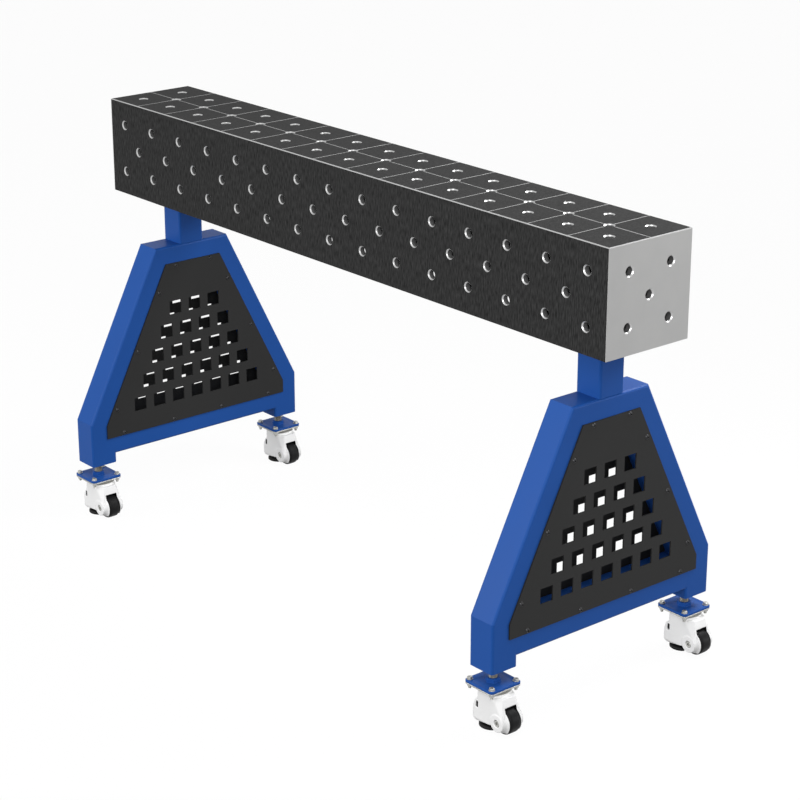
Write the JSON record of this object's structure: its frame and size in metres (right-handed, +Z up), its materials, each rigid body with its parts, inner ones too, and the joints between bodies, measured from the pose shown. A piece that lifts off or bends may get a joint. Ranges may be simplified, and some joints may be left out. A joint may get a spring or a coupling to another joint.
{
  "type": "welding trestle",
  "caption": "Bored box-beam welding trestle on two blue frame legs with black panels and levelling castors.",
  "frame": {"origin": "on the floor under the middle of the beam", "axes": "+X along the beam, +Y across it, +Z up; the castors trail towards +X"},
  "size_m": [1.5, 0.563, 0.88],
  "materials": {
    "nitrided_steel": "plasma nitrided, fine vertical grain",
    "bare_steel": "ground",
    "blue_coat": "satin powder coat",
    "black_coat": "matt powder coat",
    "black_screws": "black oxide",
    "zinc": "zinc plated",
    "white_coat": "white paint on a casting",
    "wheel_nylon": "moulded nylon",
    "black_plastic": "moulded",
    "pad_rubber": "moulded"
  },
  "bodies": {
    "trestle": {"beam_top_plate": "nitrided_steel", "beam_front_side": "nitrided_steel", "beam_back_side": "nitrided_steel", "beam_left_end": "bare_steel", "beam_right_end": "bare_steel", "beam_ribs": "nitrided_steel", "beam_mounting_plates": "nitrided_steel", "left_post": "blue_coat", "left_top_rail": "blue_coat", "left_front_upright": "blue_coat", "left_back_upright": "blue_coat", "left_bottom_rail": "blue_coat", "left_outer_panel": "black_coat", "left_inner_panel": "black_coat", "left_panel_screws": "black_screws", "left_head_bolts": "zinc", "left_foot_nuts": "blue_coat", "right_post": "blue_coat", "right_top_rail": "blue_coat", "right_front_upright": "blue_coat", "right_back_upright": "blue_coat", "right_bottom_rail": "blue_coat", "right_outer_panel": "black_coat", "right_inner_panel": "black_coat", "right_panel_screws": "black_screws", "right_head_bolts": "zinc", "right_foot_nuts": "blue_coat"},
    "left_front_stem": {"left_front_stem_plate": "blue_coat", "left_front_plate_bolts": "zinc", "left_front_top_plate": "zinc"},
    "left_front_fork": {"left_front_housing": "white_coat", "left_front_axle": "zinc"},
    "left_front_wheel": {"left_front_wheel": "wheel_nylon"},
    "left_front_thumbwheel": {"left_front_thumbwheel": "black_plastic"},
    "left_front_foot": {"left_front_foot": "pad_rubber"},
    "left_back_stem": {"left_back_stem_plate": "blue_coat", "left_back_plate_bolts": "zinc", "left_back_top_plate": "zinc"},
    "left_back_fork": {"left_back_housing": "white_coat", "left_back_axle": "zinc"},
    "left_back_wheel": {"left_back_wheel": "wheel_nylon"},
    "left_back_thumbwheel": {"left_back_thumbwheel": "black_plastic"},
    "left_back_foot": {"left_back_foot": "pad_rubber"},
    "right_front_stem": {"right_front_stem_plate": "blue_coat", "right_front_plate_bolts": "zinc", "right_front_top_plate": "zinc"},
    "right_front_fork": {"right_front_housing": "white_coat", "right_front_axle": "zinc"},
    "right_front_wheel": {"right_front_wheel": "wheel_nylon"},
    "right_front_thumbwheel": {"right_front_thumbwheel": "black_plastic"},
    "right_front_foot": {"right_front_foot": "pad_rubber"},
    "right_back_stem": {"right_back_stem_plate": "blue_coat", "right_back_plate_bolts": "zinc", "right_back_top_plate": "zinc"},
    "right_back_fork": {"right_back_housing": "white_coat", "right_back_axle": "zinc"},
    "right_back_wheel": {"right_back_wheel": "wheel_nylon"},
    "right_back_thumbwheel": {"right_back_thumbwheel": "black_plastic"},
    "right_back_foot": {"right_back_foot": "pad_rubber"}
  },
  "joints": [
    {"name": "left_front_levelling", "type": "slide", "parent": "trestle", "child": "left_front_stem", "axis": [0, 0, 1], "range_m": [-0.03, 0.02]},
    {"name": "left_front_swivel", "type": "hinge", "parent": "left_front_stem", "child": "left_front_fork", "pos_m": [-0.64, -0.245, 0.075], "axis": [0, 0, 1], "continuous": true},
    {"name": "left_front_rolling", "type": "hinge", "parent": "left_front_fork", "child": "left_front_wheel", "pos_m": [-0.6025, -0.245, 0.025], "axis": [0, 1, 0], "continuous": true},
    {"name": "left_front_thumbwheel_turn", "type": "hinge", "parent": "left_front_fork", "child": "left_front_thumbwheel", "pos_m": [-0.64, -0.245, 0.055], "axis": [0, 0, 1], "range_deg": [-2160, 0]},
    {"name": "left_front_foot_travel", "type": "slide", "parent": "left_front_fork", "child": "left_front_foot", "axis": [0, 0, 1], "range_m": [-0.012, 0]},
    {"name": "left_back_levelling", "type": "slide", "parent": "trestle", "child": "left_back_stem", "axis": [0, 0, 1], "range_m": [-0.03, 0.02]},
    {"name": "left_back_swivel", "type": "hinge", "parent": "left_back_stem", "child": "left_back_fork", "pos_m": [-0.64, 0.245, 0.075], "axis": [0, 0, 1], "continuous": true},
    {"name": "left_back_rolling", "type": "hinge", "parent": "left_back_fork", "child": "left_back_wheel", "pos_m": [-0.6025, 0.245, 0.025], "axis": [0, 1, 0], "continuous": true},
    {"name": "left_back_thumbwheel_turn", "type": "hinge", "parent": "left_back_fork", "child": "left_back_thumbwheel", "pos_m": [-0.64, 0.245, 0.055], "axis": [0, 0, 1], "range_deg": [-2160, 0]},
    {"name": "left_back_foot_travel", "type": "slide", "parent": "left_back_fork", "child": "left_back_foot", "axis": [0, 0, 1], "range_m": [-0.012, 0]},
    {"name": "right_front_levelling", "type": "slide", "parent": "trestle", "child": "right_front_stem", "axis": [0, 0, 1], "range_m": [-0.03, 0.02]},
    {"name": "right_front_swivel", "type": "hinge", "parent": "right_front_stem", "child": "right_front_fork", "pos_m": [0.64, -0.245, 0.075], "axis": [0, 0, 1], "continuous": true},
    {"name": "right_front_rolling", "type": "hinge", "parent": "right_front_fork", "child": "right_front_wheel", "pos_m": [0.6775, -0.245, 0.025], "axis": [0, 1, 0], "continuous": true},
    {"name": "right_front_thumbwheel_turn", "type": "hinge", "parent": "right_front_fork", "child": "right_front_thumbwheel", "pos_m": [0.64, -0.245, 0.055], "axis": [0, 0, 1], "range_deg": [-2160, 0]},
    {"name": "right_front_foot_travel", "type": "slide", "parent": "right_front_fork", "child": "right_front_foot", "axis": [0, 0, 1], "range_m": [-0.012, 0]},
    {"name": "right_back_levelling", "type": "slide", "parent": "trestle", "child": "right_back_stem", "axis": [0, 0, 1], "range_m": [-0.03, 0.02]},
    {"name": "right_back_swivel", "type": "hinge", "parent": "right_back_stem", "child": "right_back_fork", "pos_m": [0.64, 0.245, 0.075], "axis": [0, 0, 1], "continuous": true},
    {"name": "right_back_rolling", "type": "hinge", "parent": "right_back_fork", "child": "right_back_wheel", "pos_m": [0.6775, 0.245, 0.025], "axis": [0, 1, 0], "continuous": true},
    {"name": "right_back_thumbwheel_turn", "type": "hinge", "parent": "right_back_fork", "child": "right_back_thumbwheel", "pos_m": [0.64, 0.245, 0.055], "axis": [0, 0, 1], "range_deg": [-2160, 0]},
    {"name": "right_back_foot_travel", "type": "slide", "parent": "right_back_fork", "child": "right_back_foot", "axis": [0, 0, 1], "range_m": [-0.012, 0]}
  ],
  "couplings": [
    {"joint": "left_front_foot_travel", "follows": "left_front_thumbwheel_turn", "m_per_rad": 0.000318},
    {"joint": "left_back_foot_travel", "follows": "left_back_thumbwheel_turn", "m_per_rad": 0.000318},
    {"joint": "right_front_foot_travel", "follows": "right_front_thumbwheel_turn", "m_per_rad": 0.000318},
    {"joint": "right_back_foot_travel", "follows": "right_back_thumbwheel_turn", "m_per_rad": 0.000318}
  ]
}
